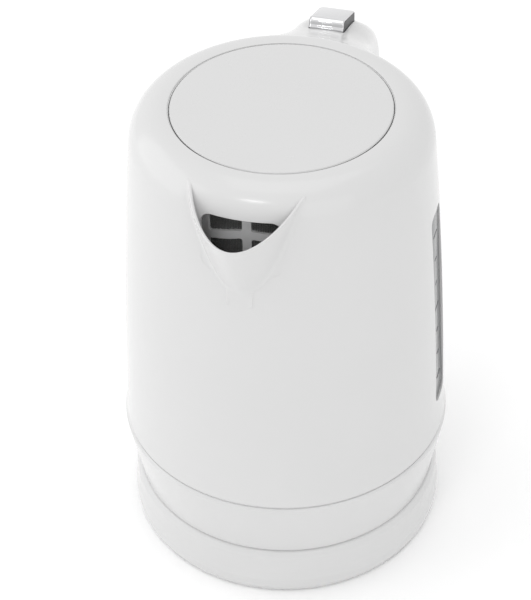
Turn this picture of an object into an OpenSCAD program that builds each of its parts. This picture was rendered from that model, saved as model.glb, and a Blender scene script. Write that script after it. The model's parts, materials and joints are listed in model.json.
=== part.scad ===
// Cordless electric kettle on a round power base.
// Z is up from the table, the spout points along -Y, the handle along +Y,
// and the water window faces +X. All lengths are millimetres.

/* [Body] */
// Height of the flat lid above the table
lid_z = 225; // [224:0.5:226]
// Outer radius of the jug just above its lower collar
body_r = 75; // [74.5:0.1:75.5]
// Wall thickness of the moulded jug
wall = 2.5; // [2.3:0.1:2.6]
// Radius of the round mouth that the lid fills
mouth_r = 48.2; // [48:0.1:48.4]

/* [Collar and base] */
// Height of the power base
base_h = 25.5; // [25:0.1:25.5]
// Largest radius of the power base
base_r = 74.2; // [73.8:0.1:74.6]
// Height of the shadow groove between collar and jug
groove_z = 58.6; // [58.4:0.1:58.8]
// Outer radius of the collar at its upper edge
collar_top_r = 76.4; // [76:0.1:76.6]
// Outer radius of the collar where it meets the base
collar_foot_r = 70.9; // [70.7:0.1:71.2]

/* [Spout] */
// Distance of the spout's tip from the kettle's axis
tip_y = 82.5; // [82:0.1:83]
// Height of the spout's tip
tip_z = 210; // [209.5:0.1:210.5]
// Rise of the spout's lip for each millimetre back from the tip
lip_slope = 0.43; // [0.42:0.01:0.44]

/* [Lid] */
// Gap around the lid
lid_gap = 0.8; // [0.7:0.1:1]
// Distance of the lid's hidden hinge pin from the kettle's axis
hinge_y = 55; // [54.9:0.1:55.1]
// Height of the lid's hinge pin
hinge_z = 217.5; // [217.4:0.1:217.6]

/* [Handle] */
// Half the handle's width along the grip
grip_w = 17.4; // [17:0.1:18]
// Half the handle's width where it spreads over the shoulder
root_w = 30; // [29:0.5:30]
// Thickness of the handle's mouldings
handle_wall = 2.4; // [2.2:0.1:2.6]

/* [Button and switch] */
// Width of the lid release button
button_w = 16; // [15.8:0.1:16.2]
// Travel of the lid release button
button_travel = 3; // [2.5:0.1:3]
// Height of the switch lever's pivot
switch_z = 44; // [43.8:0.1:44.2]

/* [Water window] */
// Width of the water window
window_w = 16; // [15:0.5:17]
// Height of the window's lower end
window_z0 = 76; // [75:0.5:78]
// Height of the window's upper end
window_z1 = 182; // [180:0.5:183]

/* [Hidden] */
$fn = 96;
eps = 0.02;
run = 0.05;             // radial running clearance of a pin in its bore

// Jug
body_z0 = 60;           // height where the wall formula starts
body_foot_z = groove_z + 0.6;
shoulder_z = lid_z - 16;
shoulder_n = 2.4;       // exponent of the rounded shoulder
crown_r = mouth_r + 0.3;
floor_z = 61;           // underside of the jug's floor flange
floor_t = 3;
floor_hole_r = 50;
rim_t = 2.5;

// Spout
spout_foot_z = 177;     // height where the spout rises out of the wall
spout_half_w = 24;      // half width where the spout meets the shoulder
spout_wall = 2.2;
spout_hole_z1 = 213;    // upper edge of the pouring opening
spout_hole_z0 = 187;
spout_hole_w = 17;

// Collar
collar_z0 = base_h + 0.3;
collar_z1 = groove_z - 0.6;
collar_wall = 2.4;

// Lid
lid_r = mouth_r - lid_gap;
ledge_z = lid_z - 5.1;  // the lid's seal rests on this ledge in the mouth
ledge_r = 44.4;
liner_r = 43.8;
liner_z = lid_z - 15;
arm_x = 11;             // the two goose-neck arms sit at this distance from the middle
arm_t = 5;
arm_r = 2;
knuckle_r = 2.6;        // round end of each arm, about the hinge pin
pin_r = 1.5;

// Button and bolt
button_y0 = 77.8;
button_y1 = 100.9;
button_gap = 0.4;
cam_y = 86.5;
cam_z = 203.5;
bolt_z0 = 203.6;
bolt_z1 = 207;
bolt_w = 6;
bolt_tip_y = 44.4;
guide_floor_z = 195.6;
spring_floor_z = 190.4;
post_z = 202.9;         // lower end of the button's spring post
skirt_z = 202.5;        // lower edge of the button
spring_y = 95.8;

// Handle screws: two at the root, two along the grip
root_screw_x = 11;
root_screw_z = 209.6;
grip_screws = [[101, 150, 123.6], [93.8, 114, 116.6]];  // head's y, height, end of post

// Switch
switch_y = 84;
rocker_y = 36;
link_arm = (switch_y - rocker_y) / 2;

// Heater, from the seal under the jug's floor downwards
seal_t = 1.2;
plate_t = 1;
spreader_t = 2;
clamp_t = 2.5;
plate_z = floor_z - seal_t - plate_t;
spreader_z = plate_z - spreader_t;
element_r = 36;
element_tube_r = 3.3;
element_z = spreader_z - element_tube_r - 0.05;
control_z1 = spreader_z - 0.4;
disc_x = 13;            // the two bimetal discs
disc_y = 18;
disc_r = 8;

plate_r = 54;
clamp_r = 55;
ear_r = 57.5;           // pitch radius of the clamp ring's ears
pillar_r = 63.5;        // pitch radius of the pillars that take the underside's screws
pillar_z = 32;

// Coupling between kettle and base
socket_r = 15;
socket_z1 = 46;
coupler_r = 20.2;
coupler_z0 = 31;
coupler_z1 = 50;
contact_z1 = 48.5;
pin_hole_r = 4.5;
slot_r0 = 8.2;
slot_r1 = 11.2;
base_screw_r = 60;      // pitch radii of the base's screws and of the socket's
flange_screw_r = 19.5;
gland_r = 3.6;          // radius of the cord hole
gland_z = 11;

// Window, on a flat that leans in with the wall
window_lean = atan((wall_r(window_z0) - wall_r(window_z1)) / (window_z1 - window_z0));
window_face_r = (wall_r(window_z0) + wall_r(window_z1)) / 2 - 0.8;
window_mid_z = (window_z0 + window_z1) / 2;
window_h = window_z1 - window_z0;

// Filter
filter_r = 56;          // outer radius of the curved filter frame
filter_t = 2.4;
filter_z0 = 181;
filter_z1 = 215;
filter_half_angle = 21;
filter_axis_y = -54.8;
filter_foot_r = 1.1;
filter_foot_x = 9;

// ---------- curves ----------

// Radius of the jug's side wall at height z
function wall_r(z) = body_r - 0.029 * (z - body_z0) - 0.00022 * pow(z - body_z0, 2)
    + 0.7 * exp(-(z - body_z0) / 6);

// Point on the rounded shoulder, a from 0 at the wall to 90 at the mouth, t inside the skin
function shoulder_pt(a, t) =
    let (z = shoulder_z + (lid_z - t - shoulder_z) * pow(sin(a), 2 / shoulder_n))
    [crown_r + (wall_r(z) - t - crown_r) * pow(cos(a), 2 / shoulder_n), z];

// Half outline of the jug, t inside its skin, starting at height z0
function jug_outline(z0, t) = concat(
    [[0, z0]],
    [for (i = [0 : 10]) let (z = z0 + (shoulder_z - z0) * i / 10) [wall_r(z) - t, z]],
    [for (a = [6 : 6 : 90]) shoulder_pt(a, t)],
    [[0, lid_z - t]]);

// Half width of the spout where it meets the wall at height z
function spout_w(z) = spout_half_w * sqrt((z - spout_foot_z) / (lid_z - 4 - spout_foot_z));

// Distance of the spout's keel from the axis at height z
function keel_y(z) = tip_y - (tip_z - z) * (tip_y - wall_r(spout_foot_z) - 0.2)
    / (tip_z - spout_foot_z);

// Stations of the handle: outer y and z, inner y and z, half width
STATIONS = [
    [56, 222.3, 60, 195, root_w], [64, 219.4, 67, 192.5, root_w - 3.5],
    [72, 216.4, 74, 190.9, root_w - 7.5], [82, 213.1, 82, 189.6, grip_w + 2.2],
    [92, 210.4, 89.5, 187.2, grip_w + 1.2], [101.5, 206.4, 95.4, 183.4, grip_w + 0.8],
    [111, 199.6, 98.8, 179, grip_w + 0.6], [118.5, 190, 100.6, 173.5, grip_w + 0.4],
    [123.3, 176, 101.6, 164, grip_w + 0.2], [125, 160, 101.6, 152, grip_w],
    [124.2, 143, 100.6, 139, grip_w - 0.2], [120.8, 124, 97.6, 124.5, grip_w - 0.4],
    [115, 104.5, 92.5, 110, grip_w - 0.6], [107.5, 85, 85.5, 97, grip_w - 0.8],
    [100.5, 67, 78, 86, grip_w - 0.9], [95.5, 51, 72, 66, grip_w - 0.9],
    [91.5, 32, 66, 36, grip_w - 0.9]];

// ---------- helpers ----------

// Extrudes an outline drawn in Y and Z across the middle of the kettle
module across(width) {
    rotate([90, 0, 90]) linear_extrude(height = width, center = true) children();
}

// A round bar along X
module bar_x(y, z, r, length) {
    translate([0, y, z]) rotate([0, 90, 0]) cylinder(h = length, r = r, center = true, $fn = 48);
}

// A ring between two heights
module tube(r0, r1, z0, z1) {
    rotate_extrude() polygon([[r0, z0], [r1, z0], [r1, z1], [r0, z1]]);
}

// Copies of a part spaced evenly around the axis
module around(count, radius, first = 0) {
    for (i = [0 : count - 1]) rotate(first + i * 360 / count) translate([radius, 0, 0]) children();
}

// A pan-head screw pointing up, its head resting under height z
module screw_up(z, shank, r = 1.5) {
    translate([0, 0, z - 2.2]) difference() {
        union() {
            cylinder(h = 2.2, r1 = r * 1.7, r2 = r * 2, $fn = 32);
            translate([0, 0, 2.2 - eps]) cylinder(h = shank, r = r, $fn = 32);
        }
        translate([0, 0, -1]) cube([r * 2.2, 0.7, 4.2], center = true);
        translate([0, 0, -1]) cube([0.7, r * 2.2, 4.2], center = true);
    }
}

// ---------- power base ----------

module base_cover() {
    top = base_h;
    color("gainsboro") difference() {
        union() {
            around(3, base_screw_r, 30) translate([0, 0, 19.6]) cylinder(h = 2.4, r = 3.6);
            rotate_extrude() polygon([
                [15.3, 27.6], [15.3, 30], [18.6, 30], [19.6, 29.4], [22.6, 24.6], [24.4, 23.4],
                [64, 23.4], [67.4, top - 0.4], [69, top], [70.8, top], [72, top - 0.7],
                [72.8, top - 2.2], [base_r - 1.1, 19], [base_r - 0.7, 14], [base_r, 9],
                [base_r, 4], [base_r - 0.6, 1.2], [base_r - 3, 1.2], [base_r - 2.6, 9],
                [base_r - 3.5, top - 4.6], [66.4, top - 4.6], [64, 21], [22.5, 21], [20, 22.4],
                [17.6, 27.6]]);
        }
        // pilot holes for the base's screws
        around(3, base_screw_r, 30) translate([0, 0, 19]) cylinder(h = 3.7, r = 1.5, $fn = 32);
        // notch for the cord gland in the rear wall
        translate([0, base_r - 4, gland_z]) rotate([-90, 0, 0]) cylinder(h = 10, r = 6.1);
    }
}

module base_plate() {
    color("dimgray") difference() {
        union() {
            tube(0, base_r - 3.3, 1.6, 4);
            tube(52, 54, 4 - eps, 9);
            // pillars that take the socket's flange and the screws
            around(3, flange_screw_r, 30) cylinder(h = 15.8, r = 3);
            around(3, base_screw_r, 30) cylinder(h = 19.5, r = 4);
        }
        // seat for the foot ring
        rotate_extrude() polygon([[60.9, 0], [67.1, 0], [67.1, 2.6], [60.9, 2.6]]);
        around(3, base_screw_r, 30) translate([0, 0, -1]) cylinder(h = 21, r = 1.7);
        around(3, base_screw_r, 30) translate([0, 0, 0]) cylinder(h = 6, r = 3.4);
        around(3, flange_screw_r, 30) translate([0, 0, 8]) cylinder(h = 9, r = 1.1, $fn = 32);
        around(12, 34) translate([0, 0, 1]) cube([16, 3, 8], center = true);
        // passage for the gland
        translate([0, base_r - 14, gland_z]) rotate([-90, 0, 0]) cylinder(h = 14, r = 8);
    }
}

module foot_ring() {
    color("#404040") rotate_extrude() polygon([
        [61, 2.6], [61, 1.4], [61.8, 0], [66.2, 0], [67, 1.4], [67, 2.6]]);
}

module base_screws() {
    color("silver") {
        around(3, base_screw_r, 30) screw_up(6, 16.6);
        // from above, through the socket's flange
        around(3, flange_screw_r, 30) translate([0, 0, 19]) rotate([180, 0, 0])
            screw_up(0, 10, 1.1);
    }
}

module base_socket() {
    color("#303030") difference() {
        rotate_extrude() polygon([
            [0, 16], [23, 16], [23, 19], [socket_r, 19], [socket_r, socket_z1 - 1.2],
            [socket_r - 1.2, socket_z1], [0, socket_z1]]);
        translate([0, 0, 24]) cylinder(h = 30, r = pin_hole_r);
        rotate_extrude() polygon([[slot_r0, 27], [slot_r1, 27], [slot_r1, 50], [slot_r0, 50]]);
        around(3, flange_screw_r, 30) translate([0, 0, 14]) cylinder(h = 8, r = 1.4, $fn = 32);
    }
}

module base_contacts() {
    color("goldenrod") {
        tube(pin_hole_r - 0.4, pin_hole_r, 24, 42);
        tube(slot_r1 - 0.4, slot_r1, 27, 41);
        tube(slot_r0, slot_r0 + 0.3, 27, 38);
    }
}

module cord_gland() {
    color("#404040") translate([0, 0, gland_z]) rotate([-90, 0, 0]) difference() {
        union() {
            translate([0, 0, base_r - 13]) cylinder(h = 14.4, r = 6);
            translate([0, 0, base_r - 13]) cylinder(h = 8.6, r = 7.6);
        }
        translate([0, 0, base_r - 15]) cylinder(h = 20, r = gland_r);
    }
}

// ---------- coupling on the kettle ----------

module kettle_coupler() {
    color("#303030") difference() {
        rotate_extrude() polygon([
            [socket_r + 0.6, coupler_z0 + 0.8], [socket_r + 1.4, coupler_z0],
            [coupler_r, coupler_z0], [coupler_r, coupler_z1], [0, coupler_z1],
            [0, socket_z1 + 0.6], [socket_r + 0.6, socket_z1 + 0.6]]);
        translate([0, 0, 40]) cylinder(h = contact_z1 - 40, r = 3.8);
        rotate_extrude() polygon([[9, 40], [10.4, 40], [10.4, contact_z1], [9, contact_z1]]);
    }
}

module coupler_contacts() {
    color("goldenrod") {
        rotate_extrude() polygon([
            [0, 32], [2.6, 32], [3.8, 34], [3.8, contact_z1], [0, contact_z1]]);
        tube(9, 10.4, 33, contact_z1);
    }
}

// ---------- jug ----------

// One level of the spout: a wedge with a round keel, t inside its skin
module spout_level(z, keel, half_w, t) {
    k = max(3.5 - t, 0.8);
    translate([0, 0, z]) linear_extrude(height = 0.02) {
        translate([0, -keel + t + k]) circle(r = k, $fn = 32);
        translate([0, -52]) square([2 * max(half_w - t * 1.1, 0.5), 8], center = true);
    }
}

// The spout's solid wedge up to its sloping lip, t inside its skin
module spout_wedge(t) {
    intersection() {
        hull() {
            for (z = [spout_foot_z + 1.5, 184, 190, 197, 204, tip_z])
                spout_level(z, keel_y(z), spout_w(z), t);
            spout_level(lid_z - 3, tip_y + 2, spout_w(lid_z - 3), t);
        }
        // keeps what lies under the sloping lip
        across(80) polygon([
            [-tip_y - 10, 150], [-tip_y - 10, tip_z - 10 * lip_slope + t],
            [-45, tip_z + (tip_y - 45) * lip_slope + t], [-45, 150]]);
    }
}

// Solid jug with nothing hollowed out, grown by g
module jug_solid(g = 0) {
    rotate_extrude($fn = 96) polygon(jug_outline(body_foot_z, -g));
}

module window_flat(width, height, x0, x1) {
    translate([window_face_r, 0, window_mid_z]) rotate([0, -window_lean, 0])
        translate([x0, 0, 0]) rotate([90, 0, 90]) linear_extrude(height = x1 - x0)
            offset(r = width * 0.3, $fn = 32)
                square([width * 0.4, height - width * 0.6], center = true);
}

module body_shell() {
    color("gainsboro") difference() {
        union() {
            difference() {
                union() {
                    jug_solid();
                    spout_wedge(0);
                }
                // water space, and the hollow under the floor
                rotate_extrude($fn = 96) polygon(jug_outline(floor_z + floor_t, wall));
                translate([0, 0, 50]) cylinder(h = floor_z - 50, r = body_r - 2.4);
                // the spout's channel, outside the jug's own wall
                difference() {
                    spout_wedge(spout_wall);
                    jug_solid(-eps);
                }
            }
            // skirt and ledge inside the mouth
            tube(mouth_r, mouth_r + 1.8, ledge_z - 1.5, lid_z - 1);
            tube(ledge_r, mouth_r + 1.8, ledge_z - 1.5, ledge_z);
            // pillars down to the underside
            around(3, pillar_r) translate([0, 0, pillar_z])
                cylinder(h = floor_z + 1 - pillar_z, r = 3.2, $fn = 32);
            // flat pad behind the water window
            intersection() {
                jug_solid(-eps);
                window_flat(window_w + 10, window_h + 10, -4.2, 6);
            }
        }
        // mouth
        translate([0, 0, ledge_z]) cylinder(h = 20, r = mouth_r);
        translate([0, 0, ledge_z - 10]) cylinder(h = 20, r = ledge_r);
        // hole in the floor for the heater plate
        translate([0, 0, 50]) cylinder(h = 30, r = floor_hole_r);
        // pouring opening through the wall behind the spout
        translate([0, -60, (spout_hole_z0 + spout_hole_z1) / 2]) rotate([90, 0, 0])
            linear_extrude(height = 30, center = true) offset(r = 5, $fn = 32)
                square([2 * spout_hole_w - 10, spout_hole_z1 - spout_hole_z0 - 10], center = true);
        // water window
        window_flat(window_w + 0.2, window_h + 0.2, -12, 12);
        // steam tube passes the floor
        translate([0, 60, 55]) cylinder(h = 20, r = 4.35, $fn = 32);
        // the bolt passes the rear wall, the arms pass the ledge
        translate([0, 62, (bolt_z0 + bolt_z1) / 2])
            cube([bolt_w + 1, 16, bolt_z1 - bolt_z0 + 1], center = true);
        for (s = [-1, 1]) translate([s * arm_x - arm_t / 2 - 1, 42, 212])
            cube([arm_t + 2, 12, lid_z - rim_t - 212]);
        // screw holes for the handle
        for (x = [-root_screw_x, root_screw_x]) translate([x, 64, root_screw_z]) rotate([90, 0, 0])
            cylinder(h = 14, r = 1.5, center = true, $fn = 24);
        // holes for the screws of the clamp ring
        around(4, ear_r, 45) translate([0, 0, 55]) cylinder(h = 8.2, r = 1.5, $fn = 24);
        // holes in the pillars for the screws of the underside
        around(3, pillar_r) translate([0, 0, pillar_z - 1]) cylinder(h = 12, r = 1.5, $fn = 24);
    }
}

module water_window() {
    color([0.45, 0.47, 0.5, 0.6]) union() {
        window_flat(window_w, window_h, -4.2, 0);
        window_flat(window_w + 7, window_h + 7, -7, -5);
        window_flat(window_w, window_h, -5 - eps, -4.2 + eps);
    }
}

module window_seal() {
    color("#505050") difference() {
        window_flat(window_w + 6, window_h + 6, -5, -4.2);
        window_flat(window_w + 0.4, window_h + 0.4, -6, -3);
    }
}

// ---------- collar and underside ----------

module lower_collar() {
    t = collar_wall;
    color("gainsboro") difference() {
        rotate_extrude() polygon([
            [collar_foot_r - t, collar_z0], [collar_foot_r - 0.6, collar_z0],
            [collar_foot_r, collar_z0 + 0.5], [collar_top_r, collar_z1 - 1.1],
            [collar_top_r - 0.7, collar_z1], [74.2, collar_z1], [74.2, collar_z1 + 1.2],
            [72.4, collar_z1 + 1.2], [72.4, collar_z1 - 3], [collar_foot_r - t, 29]]);
        // window for the switch lever in the rear wall
        translate([0, 72, switch_z]) cube([14, 20, 14], center = true);
    }
}

module bottom_cover() {
    color("#d0d0d0") difference() {
        union() {
            rotate_extrude() polygon([
                [21.6, 31.4], [29, 31.4], [33, 26.4], [64, 26.4], [65, 26], [68, 26],
                [68, 28.8], [34, 28.8], [30.4, 33.4], [21.6, 33.4]]);
            around(3, pillar_r) translate([0, 0, 28]) cylinder(h = pillar_z - 28, r = 4.2, $fn = 48);
        }
        around(3, pillar_r) translate([0, 0, 20]) cylinder(h = 20, r = 1.6, $fn = 32);
        around(3, pillar_r) translate([0, 0, 20]) cylinder(h = pillar_z - 22.4, r = 3.4, $fn = 32);
        // drain slots
        around(3, 44, 30) cube([12, 3, 80], center = true);
    }
}

module bottom_screws() {
    color("silver") around(3, pillar_r) screw_up(pillar_z - 2.4, 9);
}

// ---------- heater and control ----------

module heater_plate() {
    color("lightgray") rotate_extrude() polygon([
        [0, plate_z], [plate_r, plate_z], [plate_r, plate_z + plate_t],
        [floor_hole_r - 1.5, plate_z + plate_t],
        [floor_hole_r - 2.5, plate_z + plate_t + 0.6], [0, plate_z + plate_t + 0.6]]);
}

module heat_spreader() {
    color("silver") tube(0, 44, spreader_z, plate_z);
}

module heating_element() {
    color("darkgray") union() {
        rotate(-55) rotate_extrude(angle = 290) translate([element_r, element_z])
            circle(r = element_tube_r, $fn = 32);
        // cold pins at the two ends
        for (a = [-55, 235]) rotate(a) translate([element_r, 0, element_z]) {
            s = a < 0 ? 1 : -1;
            rotate([s * 90, 0, 0]) cylinder(h = 6, r = 1.6, $fn = 24);
        }
    }
}

module heater_seal() {
    color("#a04030") tube(floor_hole_r + 0.2, plate_r + 0.4, plate_z + plate_t, floor_z);
}

module clamp_ring() {
    color("silver") difference() {
        union() {
            tube(47, clamp_r, plate_z - clamp_t, plate_z);
            around(4, ear_r, 45) translate([0, 0, plate_z - clamp_t])
                cylinder(h = clamp_t, r = 3.6);
        }
        around(4, ear_r, 45) translate([0, 0, 50]) cylinder(h = 20, r = 1.6, $fn = 32);
    }
}

module clamp_screws() {
    color("silver") around(4, ear_r, 45) screw_up(plate_z - clamp_t, 6.6, 1.4);
}

module control_unit() {
    color("ivory") difference() {
        union() {
            intersection() {
                translate([-27, -29, 36]) cube([54, 52, control_z1 - 36]);
                cylinder(h = 100, r = element_r - element_tube_r - 0.5);
            }
            // cheeks that carry the trip rocker
            for (x = [-5.5, 5.5]) translate([x - 1, 22, 38]) cube([2, 18, 11]);
        }
        translate([0, 0, 30]) cylinder(h = coupler_z1 - 30 + 0.5, r = coupler_r + 0.4);
        bar_x(rocker_y, switch_z, pin_r, 20);
        for (x = [-disc_x, disc_x]) translate([x, -disc_y, control_z1 - 1.4])
            cylinder(h = 5, r = disc_r + 0.4);
    }
}

module bimetal_discs() {
    color("peru") for (x = [-disc_x, disc_x])
        translate([x, -disc_y, control_z1 - 0.5]) cylinder(h = 0.5, r = disc_r);
}

module element_tabs() {
    color("goldenrod") for (m = [0, 1]) mirror([m, 0, 0]) {
        translate([9.5, -33, 41]) cube([4, 4, 0.9]);
        translate([9.5, -33.9, 41]) cube([7, 0.9, 10.6]);
    }
}

module steam_tube() {
    color("whitesmoke") translate([0, 60, 0]) difference() {
        union() {
            translate([0, 0, 55]) cylinder(h = 140, r = 4.2, $fn = 48);
            translate([0, 0, 64]) cylinder(h = 1.6, r = 6, $fn = 48);
        }
        translate([0, 0, 50]) cylinder(h = 150, r = 3, $fn = 48);
    }
}

// ---------- handle ----------

// A rounded rectangle as a superellipse with half width w and half depth d
function rounded(w, d, n = 2.8) = [for (a = [0 : 15 : 345])
    [w * sign(cos(a)) * pow(abs(cos(a)), 2 / n), d * sign(sin(a)) * pow(abs(sin(a)), 2 / n)]];

// Points round one cross section of the handle, t inside its skin
function handle_ring(s, t) =
    let (d = [s[0] - s[2], s[1] - s[3]], u = d / norm(d), mid = [s[0] + s[2], s[1] + s[3]] / 2)
    [for (p = rounded(s[4] - t, norm(d) / 2 - t)) [p[0], mid[0] + p[1] * u[0], mid[1] + p[1] * u[1]]];

// A closed skin over a list of rings with the same number of points
module skin(rings) {
    n = len(rings[0]);
    last = len(rings) - 1;
    quads = [for (i = [0 : last - 1]) for (j = [0 : n - 1]) let (k = (j + 1) % n)
        [i * n + j, i * n + k, (i + 1) * n + k, (i + 1) * n + j]];
    polyhedron([for (r = rings) each r], concat(
        [for (q = quads) each [[q[0], q[1], q[2]], [q[0], q[2], q[3]]]],
        [[for (j = [n - 1 : -1 : 0]) j], [for (j = [0 : n - 1]) last * n + j]]));
}

// The handle's body through its stations; a cutting body runs on past the foot
module handle_loft(t, cutter = false) {
    last = STATIONS[len(STATIONS) - 1];
    past = last - [1.2, 6, 1.2, 6, 0];
    skin([for (s = concat(STATIONS, cutter ? [past] : [])) handle_ring(s, t)]);
}

// The side of the handle that faces the jug, up to share f of its depth
module handle_inner_side(f) {
    depths = [for (s = STATIONS) [s[2] + f * (s[0] - s[2]), s[3] + f * (s[1] - s[3])]];
    last = len(depths) - 1;
    across(90) polygon(concat([depths[0] + [-3, 1.3]],
        [for (i = [0 : last - 1]) (depths[i] + depths[i + 1]) / 2],
        [depths[last] + [-1, -12], [55, 20], [30, 120], [50, 185]]));
}

// What the handle leaves free: jug, collar, button well and switch
module handle_cuts() {
    jug_solid(0.1);
    rotate_extrude() polygon([[0, 25], [collar_foot_r + 0.1, 25],
        [collar_top_r + 0.1, collar_z1 - 1], [collar_top_r + 0.1, body_foot_z + 1], [0, 70]]);
    // button well
    translate([-button_w / 2 - button_gap, button_y0 - button_gap, 198])
        cube([button_w + 2 * button_gap, button_y1 - button_y0 + 2 * button_gap, 30]);
    // slot for the switch lever
    translate([-6, 82, switch_z - 6.5]) cube([12, 30, 10.5]);
    // way for the bolt
    translate([-5, 55, bolt_z0 - 1]) cube([10, 22, bolt_z1 - bolt_z0 + 2]);
}

// Holes or posts of radius r for the two screws at the handle's root
module root_posts(r) {
    for (x = [-root_screw_x, root_screw_x]) translate([x, 60, root_screw_z]) rotate([-90, 0, 0])
        cylinder(h = 13, r = r, $fn = 24);
}

// Holes or posts of radius r for the screws of the grip's insert
module grip_posts(r, first) {
    for (p = grip_screws) translate([0, p[0] + first, p[1]]) rotate([-90, 0, 0])
        cylinder(h = p[2] - p[0] - first, r = r, $fn = 24);
}

module handle_shell() {
    color("gainsboro") difference() {
        union() {
            difference() {
                handle_loft(0);
                handle_loft(handle_wall, true);
                handle_inner_side(0.3);
            }
            root_posts(3.2);
            // webs that hold the root's posts under the skin
            for (x = [-root_screw_x, root_screw_x])
                translate([x - 1, 62, root_screw_z]) cube([2, 9, 5.8]);
            grip_posts(3.2, 4.4);
            // floor of the handle's foot
            translate([0, 79.4, 36]) linear_extrude(height = 2.6) polygon(rounded(14.9, 11.6));
        }
        handle_cuts();
        root_posts(1.4);
        translate([0, -2, 0]) grip_posts(1.4, 0);
    }
}

module handle_insert() {
    color("silver") difference() {
        intersection() {
            handle_loft(0.15);
            handle_inner_side(0.29);
        }
        handle_loft(handle_wall, true);
        handle_cuts();
        // clear of the floor of the handle's foot
        translate([-30, 50, 20]) cube([60, 60, 20]);
        grip_posts(1.5, -6);
        for (p = grip_screws) translate([0, p[0] - 9, p[1]]) rotate([-90, 0, 0])
            cylinder(h = 10, r = 3.2, $fn = 24);
    }
}

module handle_screws() {
    color("silver") {
        for (x = [-root_screw_x, root_screw_x]) translate([x, 0, root_screw_z]) rotate([-90, 0, 0])
            screw_up(59.2, 12, 1.4);
        for (p = grip_screws) translate([0, 0, p[1]]) rotate([-90, 0, 0])
            screw_up(p[0] + 1, 10, 1.4);
    }
}

module hinge_bracket() {
    color("#c8c8c8") difference() {
        union() {
            // ears on both sides of each arm
            for (s = [-1, 1]) for (x = [arm_x - 4.2, arm_x + 4.2])
                translate([s * x, 0, 0]) across(2) polygon([
                    [hinge_y - 2.8, hinge_z - 3], [hinge_y - 2.8, hinge_z + 1.8],
                    [hinge_y + 0.2, hinge_z + 1.8], [59.5, 212.6], [59.5, 208], [59.2, 208]]);
            // cross beam that joins the ears, against the jug's wall
            intersection() {
                translate([-arm_x - 5.2, 59.2, bolt_z1 + 0.4])
                    cube([2 * arm_x + 10.4, 5, root_screw_z + 2.6 - bolt_z1 - 0.4]);
                cylinder(h = 300, r = shoulder_pt(12, wall)[0] - 0.2);
            }
        }
        bar_x(hinge_y, hinge_z, pin_r, 60);
        for (x = [-root_screw_x, root_screw_x]) translate([x, 50, root_screw_z])
            rotate([-90, 0, 0]) cylinder(h = 20, r = 1.4, $fn = 32);
    }
}

module hinge_pin() {
    color("silver") bar_x(hinge_y, hinge_z, pin_r, 2 * arm_x + 11);
}

// A wound wire of radius w on a coil of radius r, along Z from 0 to height h
module coil(r, w, h, turns) {
    sides = 6;
    steps = 14 * turns;
    points = [for (i = [0 : steps]) for (j = [0 : sides - 1])
        let (a = 360 * turns * i / steps, b = 360 * j / sides, q = r + w * cos(b))
        [q * cos(a), q * sin(a), h * i / steps + w * sin(b)]];
    walls = [for (i = [0 : steps - 1]) for (j = [0 : sides - 1]) let (k = (j + 1) % sides)
        [i * sides + j, (i + 1) * sides + j, (i + 1) * sides + k, i * sides + k]];
    tris = [for (q = walls) each [[q[0], q[1], q[2]], [q[0], q[2], q[3]]]];
    polyhedron(points, concat(tris, [[for (j = [0 : sides - 1]) j],
        [for (j = [sides - 1 : -1 : 0]) steps * sides + j]]));
}

// Spring round the hinge pin, between the arms
module lid_spring() {
    color("silver") translate([-5, hinge_y, hinge_z]) rotate([0, 90, 0])
        coil(pin_r + 0.9, 0.45, 10, 7);
}

module button_guide() {
    w = button_w / 2 + 0.3;
    h = 201.5 - guide_floor_z;
    color("#505050") difference() {
        union() {
            translate([-w - 1.4, button_y0 - 1.7, guide_floor_z - 1.4])
                cube([2 * w + 2.8, button_y1 - button_y0 + 3.4, h + 1.4]);
            // cup for the spring
            translate([0, spring_y, spring_floor_z - 1.4])
                cylinder(h = guide_floor_z - spring_floor_z + 1, r = 4.4, $fn = 32);
        }
        translate([-w, button_y0 - 0.3, guide_floor_z])
            cube([2 * w, button_y1 - button_y0 + 0.6, 30]);
        translate([0, spring_y, spring_floor_z]) cylinder(h = 20, r = 3.1, $fn = 32);
    }
}

module button_spring() {
    color("silver") translate([0, spring_y, spring_floor_z + 0.45])
        coil(2.2, 0.4, post_z - spring_floor_z - 0.9, 6);
}

// ---------- lid ----------

module lid_cover() {
    z = lid_z;
    color("#e4e4e4") rotate_extrude() polygon([
        [0, z - 2.2], [44, z - 2.2], [44, z - 3.6], [lid_r - 2, z - 3.6],
        [lid_r - 0.5, z - 1.2], [lid_r, z - 0.6], [lid_r - 0.3, z - 0.15], [lid_r - 0.8, z],
        [0, z]]);
}

// A bar with round ends between two points
module stick(a, b, r) {
    d = b - a;
    translate(a) rotate(atan2(d[1], d[0])) translate([0, -r + 0.05])
        square([norm(d), 2 * r - 0.1]);
    translate(a) circle(r = r, $fn = 32);
    translate(b) circle(r = r, $fn = 32);
}

// Side outline of one goose-neck arm, from the pin down and round to the liner
module arm_outline() {
    pts = [[hinge_y, hinge_z], [hinge_y - 0.6, hinge_z - 7], [51, 205.5], [45.8, 205.8],
        [41.2, 211.6]];
    for (i = [0 : len(pts) - 2]) stick(pts[i], pts[i + 1], arm_r);
    translate(pts[0]) circle(r = knuckle_r, $fn = 48);
}

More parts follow.
